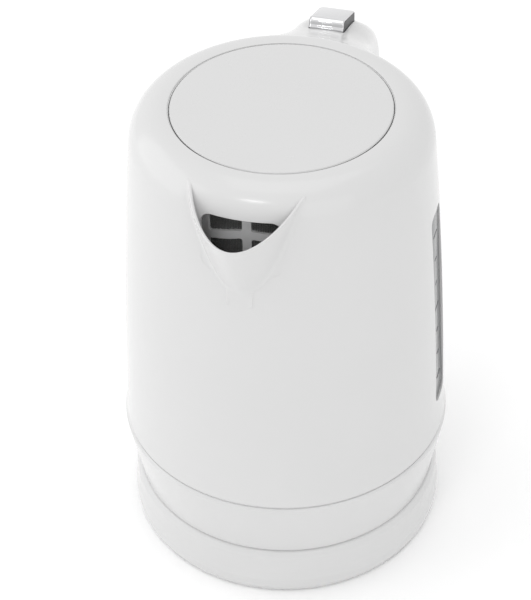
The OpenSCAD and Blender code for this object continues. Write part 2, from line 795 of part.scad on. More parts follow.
module lid_liner() {
    z = lid_z - 3.7;
    color("#d8d8d8") {
        difference() {
            union() {
                rotate_extrude() polygon([
                    [0, liner_z], [liner_r - 3, liner_z], [liner_r, liner_z + 3], [liner_r, z - 1.3],
                    [liner_r - 2, z - 1.3], [liner_r - 2, z],
                    [liner_r - 4, z], [liner_r - 4, liner_z + 4], [liner_r - 5, liner_z + 2.4],
                    [0, liner_z + 2.4]]);
                // lug that the bolt catches
                translate([-5.5, 38.5, 201.6]) cube([11, 5.5, 11]);
                for (s = [-1, 1]) translate([s * arm_x, 0, 0]) across(arm_t) arm_outline();
            }
            bar_x(hinge_y, hinge_z, pin_r + run, 60);
            translate([-5, 42.8, bolt_z0 - 0.4]) cube([10, 3, bolt_z1 - bolt_z0 + 0.8]);
            // steam holes
            for (x = [-12 : 6 : 12]) translate([x, -20, liner_z - 1]) cylinder(h = 5, r = 1.5, $fn = 24);
        }
    }
}

module lid_seal() {
    z = lid_z - 3.7;
    color("#b8b8b8") rotate_extrude() polygon([
        [liner_r - 2 + eps, z - 1.3], [44.6, z - 1.3], [44.9, z - 1], [44.7, z - 0.1],
        [liner_r - 2 + eps, z - 0.1]]);
}

// ---------- button and bolt ----------

module release_button() {
    color("silver") difference() {
        across(button_w) offset(r = 0.8, $fn = 24) offset(delta = -0.8) polygon([
            [button_y0, skirt_z], [button_y0, 216.6], [button_y0 + 0.7, 218],
            [button_y0 + 2.2, 218.6], [button_y1 - 0.8, 211.7], [button_y1, 210.8],
            [button_y1, skirt_z]]);
        // hollow underside
        across(button_w - 4) polygon([
            [button_y0 + 2, 190], [button_y0 + 2, 214], [button_y0 + 4, 215],
            [button_y1 - 2, 209.2], [button_y1 - 2, 190]]);
        // the bolt passes the front wall
        translate([-4, button_y0 - 1, 190]) cube([8, 5, bolt_z1 + 3.6 - 190]);
    }
    color("silver") {
        bar_x(cam_y, cam_z, 1.5, button_w - 2);
        // post that takes the spring
        translate([0, spring_y, post_z]) cylinder(h = 8.6, r = 2.5, $fn = 32);
    }
}

module latch_bolt() {
    s = button_travel;
    color("#606060") difference() {
        across(bolt_w) polygon([
            [bolt_tip_y, bolt_z0 + 1], [bolt_tip_y, bolt_z1 - 1], [bolt_tip_y + 1.4, bolt_z1],
            [cam_y + 3, bolt_z1], [cam_y + 3, cam_z - s - 3.2], [cam_y - s - 4, cam_z - s - 3.2],
            [cam_y - s - 4, bolt_z0], [bolt_tip_y + 1.4, bolt_z0]]);
        // slanted slot for the button's cam pin
        across(bolt_w + 2) hull() {
            translate([cam_y, cam_z]) circle(r = 1.7, $fn = 32);
            translate([cam_y - s, cam_z - s]) circle(r = 1.7, $fn = 32);
        }
    }
}

// ---------- switch ----------

module switch_bracket() {
    color("#505050") difference() {
        union() {
            for (x = [-7.6, 7.6]) translate([x - 1, switch_y - 4, switch_z - 4]) cube([2, 8, 12]);
            // cross bar that rests in the handle's side walls
            translate([-13, switch_y - 4, switch_z + 6.2]) cube([26, 8, 2]);
        }
        bar_x(switch_y, switch_z, pin_r, 30);
    }
}

module switch_pin() {
    color("silver") bar_x(switch_y, switch_z, pin_r, 17.2);
}

module rocker_pin() {
    color("silver") bar_x(rocker_y, switch_z, pin_r, 13);
}

module switch_lever() {
    tip = switch_y - link_arm;
    color("#b0b0b0") difference() {
        union() {
            across(10) {
                translate([switch_y, switch_z]) circle(r = 3.4, $fn = 48);
                polygon([[switch_y, switch_z - 2], [102, switch_z - 2], [108, switch_z - 0.6],
                    [109, switch_z + 0.6], [107.6, switch_z + 2.4], [switch_y, switch_z + 2.4]]);
            }
            across(4) {
                translate([switch_y, switch_z]) circle(r = 3.4, $fn = 48);
                polygon([[switch_y, switch_z - 1.4], [tip, switch_z - 1],
                    [tip, switch_z + 1], [switch_y, switch_z + 1.4]]);
                translate([tip, switch_z]) circle(r = 1.5, $fn = 32);
            }
        }
        bar_x(switch_y, switch_z, pin_r + run, 30);
    }
}

module trip_rocker() {
    color("#d08030") difference() {
        across(6) {
            translate([rocker_y, switch_z]) circle(r = 3.2, $fn = 48);
            polygon([[rocker_y, switch_z - 2], [57, switch_z - 3.9], [62.2, switch_z - 3.9],
                [62.2, switch_z + 3.9], [57, switch_z + 3.9], [rocker_y, switch_z + 2]]);
        }
        bar_x(rocker_y, switch_z, pin_r + run, 30);
        // fork that holds the lever's tip, flared so that both can tilt
        across(30) translate([rocker_y + link_arm, switch_z])
            polygon([[-2, -1.7], [0.6, -1.7], [5, -4], [5, 4], [0.6, 1.7], [-2, 1.7]]);
    }
}

// ---------- filter ----------

// A curved panel between two radii and heights, centred on the spout
module curved_panel(r0, r1, z0, z1, half_angle) {
    rotate(-90 - half_angle) rotate_extrude(angle = 2 * half_angle)
        polygon([[r0, z0], [r1, z0], [r1, z1], [r0, z1]]);
}

module filter_frame() {
    a = filter_half_angle;
    r0 = filter_r - filter_t;
    side = 3;
    color("darkgray") difference() {
        union() {
            curved_panel(r0, filter_r, filter_z0, filter_z1, a);
            // round foot that the frame tips about
            bar_x(filter_axis_y, filter_z0, filter_foot_r, 2 * filter_foot_x);
        }
        for (s = [-1, 1]) for (zz = [[filter_z0 + 3.4, 196.4], [200.4, filter_z1 - 3.4]])
            rotate(s * (a / 2 + 0.2)) curved_panel(r0 - 2, filter_r + 2, zz[0], zz[1], a / 2 - side + 0.4);
        // groove that holds the mesh
        curved_panel(filter_r - 1.5, filter_r - 1.1, filter_z0 + 2, filter_z1 - 2, a - 1.2);
    }
}

module filter_mesh() {
    a = filter_half_angle - 1.4;
    color("#404040") curved_panel(filter_r - 1.45, filter_r - 1.15,
        filter_z0 + 2.2, filter_z1 - 2.2, a);
}

base_cover();
base_plate();
foot_ring();
base_screws();
base_socket();
base_contacts();
cord_gland();
kettle_coupler();
coupler_contacts();
body_shell();
lower_collar();
bottom_cover();
bottom_screws();
heater_plate();
heat_spreader();
heating_element();
heater_seal();
clamp_ring();
clamp_screws();
control_unit();
bimetal_discs();
element_tabs();
steam_tube();
water_window();
window_seal();
handle_shell();
handle_insert();
handle_screws();
hinge_bracket();
hinge_pin();
lid_spring();
button_guide();
button_spring();
switch_bracket();
switch_pin();
rocker_pin();
lid_cover();
lid_liner();
lid_seal();
release_button();
latch_bolt();
switch_lever();
trip_rocker();
filter_frame();
filter_mesh();
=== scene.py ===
import json
import math

import bmesh
import bpy
import numpy as np
from mathutils import Matrix, Vector

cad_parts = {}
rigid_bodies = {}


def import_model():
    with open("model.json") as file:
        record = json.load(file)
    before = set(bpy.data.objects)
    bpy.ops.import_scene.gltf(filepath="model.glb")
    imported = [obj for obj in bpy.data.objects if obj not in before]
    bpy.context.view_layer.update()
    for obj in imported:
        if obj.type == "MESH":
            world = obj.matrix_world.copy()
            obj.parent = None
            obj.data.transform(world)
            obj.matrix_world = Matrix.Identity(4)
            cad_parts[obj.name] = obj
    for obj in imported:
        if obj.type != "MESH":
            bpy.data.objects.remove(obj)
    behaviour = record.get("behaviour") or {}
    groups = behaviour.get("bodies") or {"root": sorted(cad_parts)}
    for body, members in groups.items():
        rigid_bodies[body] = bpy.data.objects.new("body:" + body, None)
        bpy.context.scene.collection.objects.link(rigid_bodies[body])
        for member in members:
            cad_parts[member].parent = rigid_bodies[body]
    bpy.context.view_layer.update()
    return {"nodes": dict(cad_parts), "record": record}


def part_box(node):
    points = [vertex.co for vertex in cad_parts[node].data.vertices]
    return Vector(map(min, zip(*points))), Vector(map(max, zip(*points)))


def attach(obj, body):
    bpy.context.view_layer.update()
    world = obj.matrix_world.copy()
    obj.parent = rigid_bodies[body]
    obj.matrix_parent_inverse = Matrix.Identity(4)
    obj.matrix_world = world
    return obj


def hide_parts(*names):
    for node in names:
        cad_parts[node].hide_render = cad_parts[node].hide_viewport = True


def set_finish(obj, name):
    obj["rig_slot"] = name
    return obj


# Looks of a cordless kettle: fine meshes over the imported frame, procedural finishes, soft studio.
# Lengths in this script are millimetres unless a name says otherwise; MM turns them into metres.
MM = 0.001
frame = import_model()
nodes = frame["nodes"]


def top_of(node):
    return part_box(node)[1].z / MM


def reach(node, axis):
    return max(abs(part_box(node)[0][axis]), abs(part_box(node)[1][axis])) / MM


# ---------- sizes, from the frame where it has them ----------
LID_Z = top_of("lid_cover")
LID_R = reach("lid_cover", 0)
MOUTH_R = LID_R + 0.8
BODY_R = 75.0
WALL = 2.5
WALL_TAPER = 0.029
WALL_BULGE = 0.00022
WALL_FLARE = 0.7
WALL_FLARE_H = 6
WALL_FOOT_Z = 60
SHOULDER_Z = LID_Z - 16
SHOULDER_POWER = 2.4
CROWN_R = MOUTH_R + 0.3
LEDGE_Z = LID_Z - 5.1
LEDGE_R = 44.4
LEDGE_T = 1.5
FLOOR_Z = 61.0
FLOOR_T = 3
FLOOR_HOLE_R = 50.0
GROOVE_Z = 58.6
FOOT_Z = GROOVE_Z + 0.6
BASE_H = 25.5
GLAND_R = 6.1
GLAND_Z = 11
BASE_R = reach("base_cover", 0)
COLLAR_TOP_R = reach("lower_collar", 0)
COLLAR_FOOT_R = 70.9

SPOUT_FOOT_Z = 177.0
SPOUT_HALF_W = 24.0
TIP_Y = 82.5
TIP_Z = 210.0
LIP_SLOPE = 0.43
LIP_T = 1.4
WEDGE_FALL = 160     # mm per radian that the wedge drops by beyond its sides
SINK_RUN = 3
SINK_DEPTH = 0.06
SPOUT_SKIN_Z = 171
SPOUT_HALF_ANGLE = 0.42
HOLE_HALF_W = 17.0
HOLE_Z = (187.0, 213.0)

GRIP_W = 17.4
HANDLE_T = 2.4
WELL_FLOOR_Z = 197.9
HEEL_Y = 79.4
HEEL_Z = (36, 38.6)
BUTTON_W = 16.0
BUTTON_Y = (77.8, 100.9)
SWITCH_Z = 44.0
BOLT_Z = (203.6, 207.0)
HINGE_ARM_X = 11
WINDOW_W = 16.0
WINDOW_Z = (76.0, 182.0)
MARKS = 7
MARK_LOW_Z = 88
MARK_STEP = 13.5


# ---------- mesh helpers ----------
def make(name, verts, faces):
    mesh = bpy.data.meshes.new(name)
    mesh.from_pydata([tuple(float(c) * MM for c in v) for v in verts], [], faces)
    bm = bmesh.new()
    bm.from_mesh(mesh)
    bmesh.ops.remove_doubles(bm, verts=bm.verts, dist=1e-7)
    bmesh.ops.recalc_face_normals(bm, faces=bm.faces)
    bm.to_mesh(mesh)
    bm.free()
    obj = bpy.data.objects.new(name, mesh)
    bpy.context.scene.collection.objects.link(obj)
    soften(obj)
    return obj


def soften(obj, sharp=35):
    obj.data.shade_smooth()
    obj.data.set_sharp_from_angle(angle=math.radians(sharp))


def stand_for(obj, body, slot_name, *replaced):
    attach(obj, body)
    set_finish(obj, slot_name)
    if replaced:
        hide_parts(*replaced)
    return obj


def round_corners(points, steps=6):
    """Outline with each corner (a, b, radius) turned into an arc."""
    out = []
    count = len(points)
    for i, (a, b, radius) in enumerate(points):
        here = np.array([a, b], float)
        if radius <= 0:
            out.append(here)
            continue
        before = np.array(points[i - 1][:2], float) - here
        after = np.array(points[(i + 1) % count][:2], float) - here
        room = 0.49 * min(np.linalg.norm(before), np.linalg.norm(after))
        before /= np.linalg.norm(before)
        after /= np.linalg.norm(after)
        half = math.acos(max(-1, min(1, before @ after))) / 2
        pull = min(radius / math.tan(half), room)
        start, end = here + before * pull, here + after * pull
        for k in range(steps + 1):
            t = k / steps
            out.append((1 - t) ** 2 * start + 2 * t * (1 - t) * here + t ** 2 * end)
    return out


def lathe(name, outline, segments=256):
    """A closed outline of (radius, height) turned round the kettle's axis."""
    rings = len(outline)
    verts, faces = [], []
    for j in range(segments):
        a = 2 * math.pi * j / segments
        verts += [(r * math.cos(a), r * math.sin(a), z) for r, z in outline]
    for j in range(segments):
        k = (j + 1) % segments
        for i in range(rings):
            n = (i + 1) % rings
            if outline[i][0] < 1e-6 and outline[n][0] < 1e-6:
                continue
            faces.append((j * rings + i, k * rings + i, k * rings + n, j * rings + n))
    return make(name, verts, faces)


def loft(name, rings):
    """A closed skin over rings with the same number of points."""
    n = len(rings[0])
    verts = [p for ring in rings for p in ring]
    faces = [(i * n + j, i * n + (j + 1) % n, (i + 1) * n + (j + 1) % n, (i + 1) * n + j)
             for i in range(len(rings) - 1) for j in range(n)]
    faces.append(tuple(reversed(range(n))))
    faces.append(tuple((len(rings) - 1) * n + j for j in range(n)))
    return make(name, verts, faces)


def sheet_grid(rows):
    """Faces of an open grid with rows of equal length."""
    n = len(rows[0])
    return [(i * n + j, i * n + j + 1, (i + 1) * n + j + 1, (i + 1) * n + j)
            for i in range(len(rows) - 1) for j in range(n - 1)]


def bake(obj):
    deps = bpy.context.evaluated_depsgraph_get()
    mesh = bpy.data.meshes.new_from_object(obj.evaluated_get(deps))
    obj.modifiers.clear()
    obj.data = mesh
    return obj


def cut(obj, *cutters, sharp=35):
    for cutter in cutters:
        step = obj.modifiers.new("cut", "BOOLEAN")
        step.operation = "DIFFERENCE"
        step.solver = "EXACT"
        step.object = cutter
    bake(obj)
    for cutter in cutters:
        bpy.data.objects.remove(cutter)
    soften(obj, sharp)
    return obj


def rounded_square(half_w, half_h, radius, steps=8):
    corners = [(-half_w, -half_h, radius), (half_w, -half_h, radius),
               (half_w, half_h, radius), (-half_w, half_h, radius)]
    return round_corners(corners, steps)


def prism(name, outline, place, low, high):
    """An outline between two distances; place turns (a, b, distance) into a point."""
    return loft(name, [[place(a, b, low) for a, b in outline],
                       [place(a, b, high) for a, b in outline]])


def block(name, x0, x1, y0, y1, z0, z1):
    ring = [(x0, y0), (x1, y0), (x1, y1), (x0, y1)]
    return prism(name, ring, lambda a, b, d: (a, b, d), z0, z1)


def bevelled(obj, width, angle):
    step = obj.modifiers.new("edges", "BEVEL")
    step.width = width * MM
    step.segments = 4
    step.limit_method = "ANGLE"
    step.angle_limit = math.radians(angle)
    bake(obj)
    soften(obj, 40)


# ---------- jug and spout ----------
def wall_r(z):
    d = z - WALL_FOOT_Z
    return BODY_R - WALL_TAPER * d - WALL_BULGE * d * d + WALL_FLARE * math.exp(-d / WALL_FLARE_H)


def shoulder_point(a, t):
    rise = math.sin(a) ** (2 / SHOULDER_POWER)
    run = max(math.cos(a), 0) ** (2 / SHOULDER_POWER)
    z = SHOULDER_Z + (LID_Z - t - SHOULDER_Z) * rise
    return CROWN_R + (wall_r(z) - t - CROWN_R) * run, z


def jug_half(z0, t, steps=60):
    side = [(wall_r(z) - t, z) for z in np.linspace(z0, SHOULDER_Z, 48)]
    top = [shoulder_point(a, t) for a in np.linspace(0, math.pi / 2, steps)[1:]]
    return side + top


OUTER = jug_half(FOOT_Z, 0, 120)
OUTER_R = np.array([p[0] for p in OUTER])
OUTER_Z = np.array([p[1] for p in OUTER])


def skin_r(z):
    """Radius of the jug's skin at height z, shoulder included."""
    return float(np.interp(z, OUTER_Z, OUTER_R))


def jug_solid(name, grow):
    outline = [(0, FOOT_Z - 1)] + [(r + grow, z) for r, z in OUTER] + [(0, LID_Z + grow)]
    return lathe(name, outline, 192)


def jug_outline():
    inside = jug_half(FLOOR_Z + FLOOR_T, WALL)
    mouth = [(CROWN_R - 0.12, LID_Z - 0.05), (MOUTH_R, LID_Z - 0.3), (MOUTH_R, LID_Z - 0.65),
             (MOUTH_R - 0.4, LID_Z - 0.8), (MOUTH_R - 0.4, LEDGE_Z),
             (LEDGE_R, LEDGE_Z), (LEDGE_R, LEDGE_Z - LEDGE_T), (MOUTH_R + 1.8, LEDGE_Z - LEDGE_T)]
    inner = [p for p in reversed(inside) if p[0] > MOUTH_R + 2.2]
    floor = [(FLOOR_HOLE_R, FLOOR_Z + FLOOR_T), (FLOOR_HOLE_R, FLOOR_Z),
             (BODY_R - 2.4, FLOOR_Z), (BODY_R - 2.4, FOOT_Z)]
    foot = [(OUTER[0][0] - 0.4, FOOT_Z), (OUTER[0][0], FOOT_Z + 0.35)]
    return foot + OUTER[1:] + mouth + inner + floor


def across_front(a, b, d):
    return (a, -d, b)


WINDOW_LEAN = math.atan((wall_r(WINDOW_Z[0]) - wall_r(WINDOW_Z[1])) / (WINDOW_Z[1] - WINDOW_Z[0]))
WINDOW_MID = sum(WINDOW_Z) / 2
WINDOW_FACE = (wall_r(WINDOW_Z[0]) + wall_r(WINDOW_Z[1])) / 2 - 0.8


def on_window(a, b, d):
    """Point a across, b up and d out from the window's face."""
    c, s = math.cos(WINDOW_LEAN), math.sin(WINDOW_LEAN)
    return (WINDOW_FACE + d * c - b * s, a, WINDOW_MID + b * c + d * s)


def window_prism(name, grow, low, high, radius=4.8):
    half_h = (WINDOW_Z[1] - WINDOW_Z[0]) / 2
    return prism(name, rounded_square(WINDOW_W / 2 + grow, half_h + grow, radius, 10),
                 on_window, low, high)


jug = lathe("jug_skin", jug_outline(), 288)
hole = prism("hole", [(a, b + sum(HOLE_Z) / 2) for a, b in rounded_square(
    HOLE_HALF_W, (HOLE_Z[1] - HOLE_Z[0]) / 2, 5)], across_front, 45, 75)
bolt_way = block("bolt_way", -3.5, 3.5, 54, 72, BOLT_Z[0] - 0.5, BOLT_Z[1] + 0.5)
notches = [block("notch", side * HINGE_ARM_X - 3.5, side * HINGE_ARM_X + 3.5, 42, 54, 212, LID_Z - WALL)
           for side in (-1, 1)]
cut(jug, hole, bolt_way, window_prism("window_hole", 0.1, -12, 12), *notches)
stand_for(jug, "kettle", "body_plastic", "body_shell")


def spout_w(z):
    """Half width of the spout at height z, never quite zero."""
    return SPOUT_HALF_W * math.sqrt(max(z - SPOUT_FOOT_Z, 2) / (LID_Z - 4 - SPOUT_FOOT_Z))


def keel_y(z):
    return TIP_Y - (TIP_Z - z) * (TIP_Y - wall_r(SPOUT_FOOT_Z) - 0.2) / (TIP_Z - SPOUT_FOOT_Z)


def nose_curve(z):
    """(x, distance forward) along one half of the spout's section at height z, from its tip.
    In plan the beak is close to a parabola."""
    half = spout_w(z)
    keel = keel_y(z)
    foot = math.sqrt(max(skin_r(z) ** 2 - half ** 2, 1))
    t = np.linspace(0, 1.04, 90)
    return half * t, keel - t * t * (keel - foot)


def wedge_r(angle, z):
    """Radius of the spout's wedge in the direction angle from straight ahead."""
    width, ahead = nose_curve(z)
    at = np.arctan2(width, ahead)
    radius = np.hypot(width, ahead)
    if angle > at[-1]:
        return float(radius[-1] - (angle - at[-1]) * WEDGE_FALL)
    return float(np.interp(angle, at, radius))


def blended_r(angle, z, fillet=1.4):
    """Radius of jug and wedge together; past the spout the skin dips just under the jug's."""
    jug_here, nose = skin_r(z), wedge_r(angle, z)
    gap = max(fillet - abs(jug_here - nose), 0) / fillet
    sink = min(max(jug_here - nose - fillet, 0) / SINK_RUN, 1)
    return max(jug_here, nose) + gap * gap * fillet / 4 - SINK_DEPTH * sink


def lip_z(angle):
    low, high = 195.0, LID_Z - 1.5
    for _ in range(40):
        mid = (low + high) / 2
        if mid < TIP_Z + LIP_SLOPE * (TIP_Y - blended_r(angle, mid) * math.cos(angle)):
            low = mid
        else:
            high = mid
    return low


def spout():
    """The beak: outer skin blended into the jug, a rolled lip and the channel's inside."""
    half = [SPOUT_HALF_ANGLE * t ** 1.5 for t in np.linspace(0, 1, 110)]
    angles = [-a for a in reversed(half[1:])] + half
    tops, columns = [], []
    for angle in angles:
        size = abs(angle)
        top = lip_z(size)
        side = 1 if angle >= 0 else -1
        column = []
        for t in np.linspace(0, 1, 64):
            z = SPOUT_SKIN_Z + (top - SPOUT_SKIN_Z) * t
            r = blended_r(size, z)
            column.append(np.array([side * r * math.sin(size), -r * math.cos(size), z]))
        columns.append(column)
        tops.append(column[-1])
    tops = np.array(tops)
    along = np.gradient(tops, axis=0)
    along /= np.linalg.norm(along, axis=1)[:, None]
    up = np.array([0, LIP_SLOPE, 1.0])
    up /= np.linalg.norm(up)
    inward = np.cross(up, along)
    inward /= np.linalg.norm(inward, axis=1)[:, None]
    inward *= np.sign((inward @ np.array([0, 1.0, 0])).sum())
    roll = 0.6
    rows = []
    for column, top, into in zip(columns, tops, inward):
        down = column[-3] - column[-1]
        down /= np.linalg.norm(down)
        outside = [p for p in column if p[2] < top[2] - roll * 1.2]
        outside = [outside[int(round(i))] for i in np.linspace(0, len(outside) - 1, 56)]
        arc = [top + into * roll * (1 - math.cos(a)) + down * roll * (1 - math.sin(a))
               for a in np.linspace(0, math.pi / 2, 7)]
        inner_top = top + into * LIP_T
        back = [inner_top - into * roll * (1 - math.cos(a)) + down * roll * (1 - math.sin(a))
                for a in np.linspace(math.pi / 2, 0, 7)]
        inside = []
        for t in np.linspace(0.03, 1, 30):
            point = column[int(round((1 - t) * (len(column) - 1)))] - top + inner_top
            r = math.hypot(point[0], point[1])
            floor_r = skin_r(point[2]) - 1.6
            if r < floor_r:
                point = np.array([point[0] * floor_r / r, point[1] * floor_r / r, point[2]])
            inside.append(point)
        rows.append(outside + arc + back + inside)
    obj = make("spout", [p for row in rows for p in row], sheet_grid(rows))
    return stand_for(obj, "kettle", "body_plastic")


spout()


# ---------- collar, base, lid: corners are (radius, height, rounding) ----------
def collar():
    inside_r = COLLAR_FOOT_R - 2.4
    rim_r = 72.4
    groove_r = BODY_R + 0.05
    outline = round_corners([
        (inside_r, BASE_H + 0.3, 0.3), (COLLAR_FOOT_R, BASE_H + 0.06, 0.5),
        (COLLAR_TOP_R, GROOVE_Z - 1.7, 0.5), (COLLAR_TOP_R - 0.8, GROOVE_Z - 0.45, 0.3),
        (groove_r, GROOVE_Z - 0.35, 0.1), (groove_r, GROOVE_Z + 0.55, 0), (rim_r, GROOVE_Z + 0.55, 0),
        (rim_r, GROOVE_Z - 3.6, 0), (inside_r, 29, 0)])
    obj = lathe("collar_skin", outline, 288)
    cut(obj, block("lever_window", -7, 7, 62, 82, SWITCH_Z - 7, SWITCH_Z + 7))
    return stand_for(obj, "kettle", "body_plastic", "lower_collar")


def base():
    t, r = BASE_H, BASE_R
    floor_gap = 0.15
    dish_z, dish_under_z = 23.4, 21
    post_r, post_z, post_seat_z = 15.3, 30, 27.6
    post = [(post_r, post_seat_z, 0), (post_r, post_z, 0.4), (18.6, post_z, 0.8), (22.6, 24.2, 1.5)]
    dish = [(25.2, dish_z, 0.8), (65, dish_z, 1.2), (67.4, t, 1), (70.4, t - 0.2, 0.3)]
    side = [(71.6, t - 0.6, 1.5), (73.0, t - 3.6, 3.5), (r - 0.9, 17, 5), (r - 0.6, 13, 4), (r, 8.6, 4),
            (r - 0.1, 3.6, 4), (r - 1.6, floor_gap, 1.8), (r - 3, floor_gap, 0.4)]
    under = [(r - 2.6, 9, 0), (r - 3.5, t - 4.6, 0), (66.4, t - 4.6, 0), (64, dish_under_z, 0),
             (22.5, dish_under_z, 0), (20, 22.4, 0), (17.6, post_seat_z, 0)]
    outline = round_corners(post + dish + side + under)
    obj = lathe("base_skin", outline, 288)
    notch = prism("gland_notch", [(GLAND_R * math.cos(a), GLAND_Z + GLAND_R * math.sin(a))
                                  for a in np.linspace(0, 2 * math.pi, 49)[:-1]],
                  lambda a, b, d: (a, d, b), r - 4, r + 6)
    cut(obj, notch)
    return stand_for(obj, "power_base", "body_plastic", "base_cover")


def lid():
    z = LID_Z
    outline = round_corners([
        (0, z - 2.2, 0), (44, z - 2.2, 0.3), (44, z - 3.6, 0.2), (LID_R - 2, z - 3.6, 0.3),
        (LID_R - 0.5, z - 1.2, 0.3), (LID_R + 0.2, z - 0.7, 0.3), (LID_R - 0.4, z - 0.02, 0.5),
        (LID_R - 3, z, 0.5), (0, z, 0)])
    obj = lathe("lid_skin", outline, 256)
    return stand_for(obj, "lid", "lid_plastic", "lid_cover")


collar()
base()
lid()

# ---------- handle ----------
# outer y and z, inner y and z, half width, from the root down to the foot
STATIONS = [
    (56, 222.3, 60, 195, 30), (64, 219.4, 67, 192.5, 26.5), (72, 216.4, 74, 190.9, 22.5),
    (82, 213.1, 82, 189.6, 19.6), (92, 210.4, 89.5, 187.2, 18.6),
    (101.5, 206.4, 95.4, 183.4, 18.2), (111, 199.6, 98.8, 179, 18),
    (118.5, 190, 100.6, 173.5, 17.8), (123.3, 176, 101.6, 164, 17.6),
    (125, 160, 101.6, 152, GRIP_W), (124.2, 143, 100.6, 139, 17.2),
    (120.8, 124, 97.6, 124.5, 17), (115, 104.5, 92.5, 110, 16.8),
    (107.5, 85, 85.5, 97, 16.6), (100.5, 67, 78, 86, 16.5), (95.5, 51, 72, 66, 16.5),
    (91.5, 32, 66, 36, 16.5)]
SPLIT = -0.41    # depth at which shell and insert meet, -1 at the inner side and 1 at the outer


def smooth_stations(per_span=9):
    pts = np.array(STATIONS, float)
    ends = np.vstack([2 * pts[0] - pts[1], pts, 2 * pts[-1] - pts[-2]])
    out = []
    for i in range(1, len(ends) - 2):
        p0, p1, p2, p3 = ends[i - 1:i + 3]
        for k in range(per_span):
            t = k / per_span
            out.append(0.5 * (2 * p1 + (p2 - p0) * t + (2 * p0 - 5 * p1 + 4 * p2 - p3) * t ** 2
                              + (3 * p1 - p0 - 3 * p2 + p3) * t ** 3))
    out.append(pts[-1])
    return out


def power(value, n=2.8):
    """Turns a sine or cosine into that of a squarish oval."""
    return math.copysign(abs(value) ** (2 / n), value)


def ring_point(station, angle, t):
    oy, oz, iy, iz, half = station
    across_dir = np.array([oy - iy, oz - iz])
    depth = np.linalg.norm(across_dir)
    across_dir = across_dir / depth
    mid = np.array([oy + iy, oz + iz]) / 2
    d = power(math.sin(angle)) * (depth / 2 - t)
    return ((half - t) * power(math.cos(angle)), mid[0] + d * across_dir[0], mid[1] + d * across_dir[1])


def handle_strip(name, start, stop, t_out, t_in, steps):
    """A thick strip round part of the handle's section, all the way along it."""
    rings = []
    for station in smooth_stations():
        angles = np.linspace(start, stop, steps)
        outer = [ring_point(station, a, t_out) for a in angles]
        inner = [ring_point(station, a, t_in) for a in reversed(angles)]
        rings.append(outer + inner)
    return loft(name, rings)


def handle_cutters():
    collar_space = lathe("collar_space", [
        (0, 25), (COLLAR_FOOT_R + 0.1, 25), (COLLAR_TOP_R + 0.1, GROOVE_Z - 1.6),
        (COLLAR_TOP_R + 0.1, FOOT_Z + 1), (0, 70)], 144)
    y_mid = sum(BUTTON_Y) / 2
    well = prism("well", [(a, b + y_mid) for a, b in rounded_square(
        BUTTON_W / 2 + 0.4, (BUTTON_Y[1] - BUTTON_Y[0]) / 2 + 0.4, 1.0)],
        lambda a, b, d: (a, b, d), WELL_FLOOR_Z, 235)
    slot_hole = block("slot", -6, 6, 82, 112, SWITCH_Z - 6.5, SWITCH_Z + 4)
    return [jug_solid("jug_space", 0.1), collar_space, well, slot_hole]


split_angle = -math.asin(abs(SPLIT) ** 1.4)
shell = handle_strip("handle_skin", split_angle, math.pi - split_angle, 0, HANDLE_T, 72)
cut(shell, *handle_cutters(), sharp=32)
stand_for(shell, "kettle", "body_plastic", "handle_shell")
gap_angle = -math.asin((abs(SPLIT) + 0.03) ** 1.4)
insert = handle_strip("handle_insert_skin", math.pi - gap_angle, 2 * math.pi + gap_angle,
                      0.15, HANDLE_T, 48)
cut(insert, *handle_cutters(), sharp=32)
stand_for(insert, "kettle", "grey_plastic", "handle_insert")
foot_plate = loft("handle_foot", [[(14.9 * power(math.cos(a)), HEEL_Y + 11.6 * power(math.sin(a)), z)
                                   for a in np.linspace(0, 2 * math.pi, 49)[:-1]]
                                  for z in HEEL_Z])
cut(foot_plate, *handle_cutters())
stand_for(foot_plate, "kettle", "body_plastic")


# ---------- release button ----------
def button_outline(inset):
    """The button seen from the side, drawn in by inset: bull nose in front, slope to the back."""
    y0, y1 = BUTTON_Y
    foot = 202.5
    centre = np.array([(y0 + y1) / 2, 208.5])
    half_size = np.array([(y1 - y0) / 2, 10.0])
    side = round_corners([(y0, foot, 0.3), (y0, 214.0, 0.2), (y0 - 0.3, 214.4, 0.3),
                          (y0 - 0.3, 215.1, 0.4), (y0 + 0.7, 215.9, 0.8), (y0 + 0.8, 217.9, 1.5),
                          (y0 + 3.0, 218.7, 2.2), (y1 - 0.4, 211.9, 0.9), (y1, 211.0, 0.5),
                          (y1, foot, 0.3)], 8)
    shrink = 1 - inset / half_size
    drawn = [centre + (p - centre) * shrink for p in side]
    return [(q[0], max(q[1], foot)) for q in drawn]


def button():
    y0, y1 = BUTTON_Y
    edge = 0.9
    rings = []
    # the long edges are rounded by drawing the outline in towards both flanks
    for a in np.linspace(0, math.pi, 17):
        side_x = -1 if a <= math.pi / 2 else 1
        x = side_x * (BUTTON_W / 2 - edge) - edge * math.cos(a)
        rings.append([(x, y, z) for y, z in button_outline(edge * (1 - math.sin(a)))])
    obj = loft("button_skin", rings)
    cut(obj, block("cavity", -6, 6, y0 + 2, y1 - 2, 195, 210.6),
        block("bolt_gap", -4, 4, y0 - 1, y0 + 4, 195, 210.6), sharp=50)
    stand_for(obj, "button", "chrome", "release_button")
    # thin dark sheets laid on both flanks paint the shade of the chrome button's sides
    for side, name in ((-1, "button_flank_painted_shade_left"), (1, "button_flank_painted_shade_right")):
        face = side * BUTTON_W / 2
        plate = prism(name, button_outline(0.7), lambda a, b, d: (d, a, b), face - 0.15, face + 0.1)
        stand_for(plate, "button", "dark_plastic")


button()


# ---------- water window ----------
glass = window_prism("window_pane", 0, -4.2, 0)
bevelled(glass, 0.5, 60)
pane_flange = window_prism("window_flange", 3.5, -7, -5, 6)
stand_for(glass, "kettle", "smoked_clear", "water_window")
stand_for(pane_flange, "kettle", "smoked_clear")


